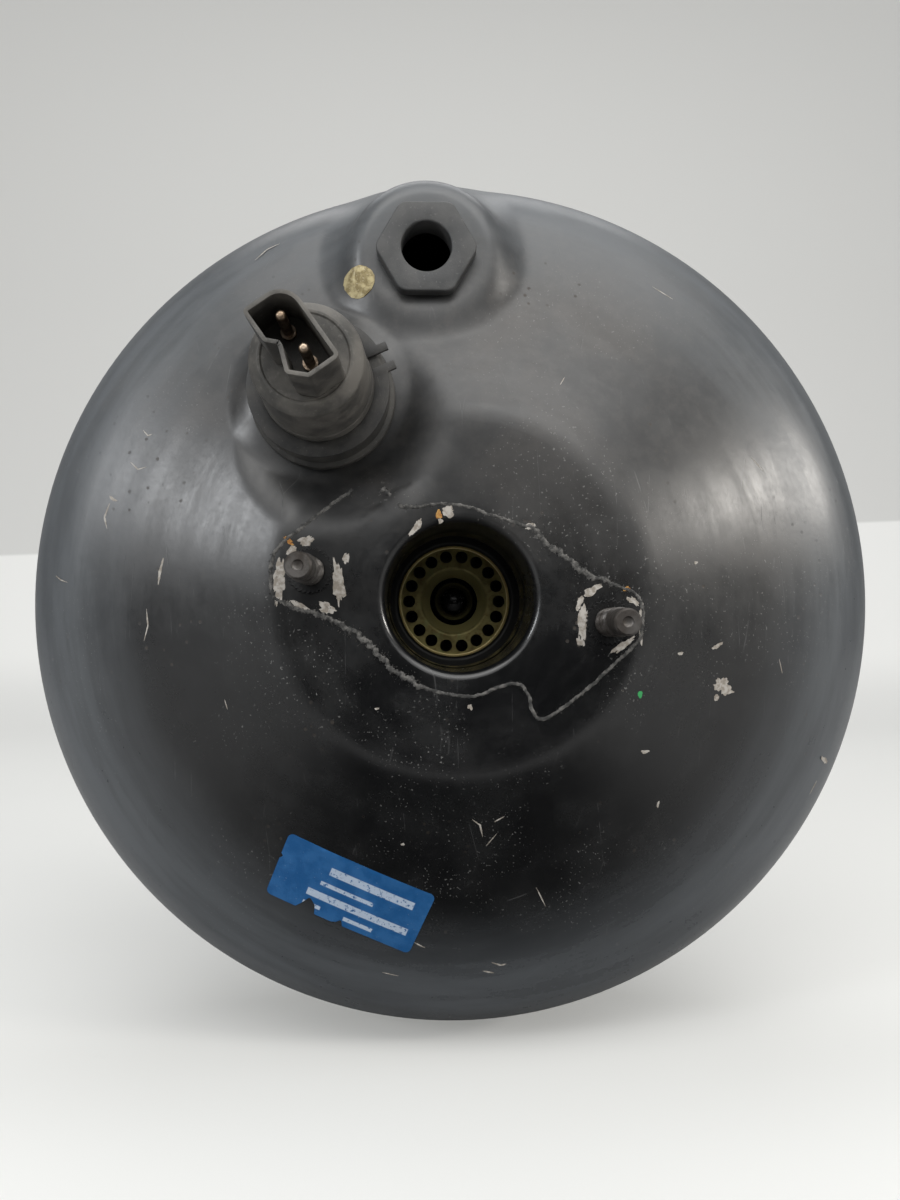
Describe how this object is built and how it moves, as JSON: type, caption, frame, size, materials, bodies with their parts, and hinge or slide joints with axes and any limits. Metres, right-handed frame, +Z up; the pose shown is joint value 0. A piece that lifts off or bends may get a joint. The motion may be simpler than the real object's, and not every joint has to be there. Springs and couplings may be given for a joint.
{
  "type": "brake booster",
  "caption": "Vacuum brake booster: black pressed-steel drum with master-cylinder studs and opening in front, vacuum fitting, travel sensor, rear studs, boot and clevis.",
  "frame": {"origin": "centre of the firewall mounting face, on the booster's axis", "axes": "+Y along the booster's axis towards the brake pedal, -Y towards the master cylinder; +Z up, towards the vacuum fitting; +X to the right as seen from the master-cylinder side"},
  "size_m": [0.282, 0.313, 0.282],
  "materials": {
    "black_paint": "worn satin black paint",
    "raw_steel": "plain steel",
    "stud_steel": "phosphated steel with bright rubbed ends",
    "fitting_paint": "matte dark grey paint",
    "yellow_zinc": "yellow chromated zinc",
    "grommet_rubber": "matte black rubber",
    "clip_plastic": "matte black plastic",
    "sensor_plastic": "glass-filled black plastic",
    "pin_metal": "tinned brass",
    "rubber": "black rubber",
    "housing_plastic": "black thermoset plastic",
    "spring_steel": "dark oiled spring steel",
    "rod_steel": "bright zinc-plated steel",
    "filter_foam": "open grey foam",
    "feeler_plastic": "off-white plastic"
  },
  "bodies": {
    "housing": {"front_shell": "black_paint", "rear_shell": "black_paint", "front_reinforcement_plate": "raw_steel", "rear_reinforcement_plate": "raw_steel", "master_cylinder_studs": "stud_steel", "firewall_studs": "stud_steel", "vacuum_fitting": "fitting_paint", "guide_plate": "yellow_zinc", "sensor_grommet": "grommet_rubber", "sensor_clip": "clip_plastic", "sensor_body": "sensor_plastic", "sensor_pins": "pin_metal", "piston_seal": "rubber", "piston_guide_ring": "housing_plastic", "dust_boot": "rubber", "return_spring": "spring_steel", "feeler_spring": "spring_steel"},
    "power_piston": {"valve_body": "housing_plastic", "diaphragm_plate": "raw_steel", "diaphragm": "rubber", "reaction_disc": "rubber", "output_push_rod": "rod_steel", "stop_key": "raw_steel", "air_filter": "filter_foam", "filter_cap": "housing_plastic", "poppet_valve": "rubber", "poppet_retainer": "raw_steel", "poppet_spring": "spring_steel", "input_return_spring": "spring_steel"},
    "valve_plunger": {"valve_plunger": "rod_steel"},
    "input_rod": {"input_push_rod": "rod_steel", "input_spring_washer": "raw_steel", "clevis": "yellow_zinc", "clevis_lock_nut": "yellow_zinc"},
    "feeler": {"sensor_feeler": "feeler_plastic"}
  },
  "joints": [
    {"name": "booster_stroke", "type": "slide", "parent": "housing", "child": "power_piston", "axis": [0, -1, 0], "range_m": [0, 0.038], "stiffness_N_per_m": 2500, "springref_m": -0.04, "deforming": ["return_spring", "diaphragm", "dust_boot"]},
    {"name": "valve_stroke", "type": "slide", "parent": "power_piston", "child": "valve_plunger", "axis": [0, -1, 0], "range_m": [0, 0.0018], "stiffness_N_per_m": 3000, "springref_m": -0.01, "deforming": ["input_return_spring"]},
    {"name": "input_rod_swing", "type": "hinge", "parent": "valve_plunger", "child": "input_rod", "pos_m": [0, 0.003, 0], "axis": [1, 0, 0], "range_deg": [-2, 2], "stiffness_Nm_per_rad": 12},
    {"name": "feeler_slide", "type": "slide", "parent": "housing", "child": "feeler", "axis": [0, -1, 0], "range_m": [0, 0.038], "deforming": ["feeler_spring"]}
  ],
  "couplings": [
    {"joint": "feeler_slide", "follows": "booster_stroke", "ratio": 1}
  ]
}
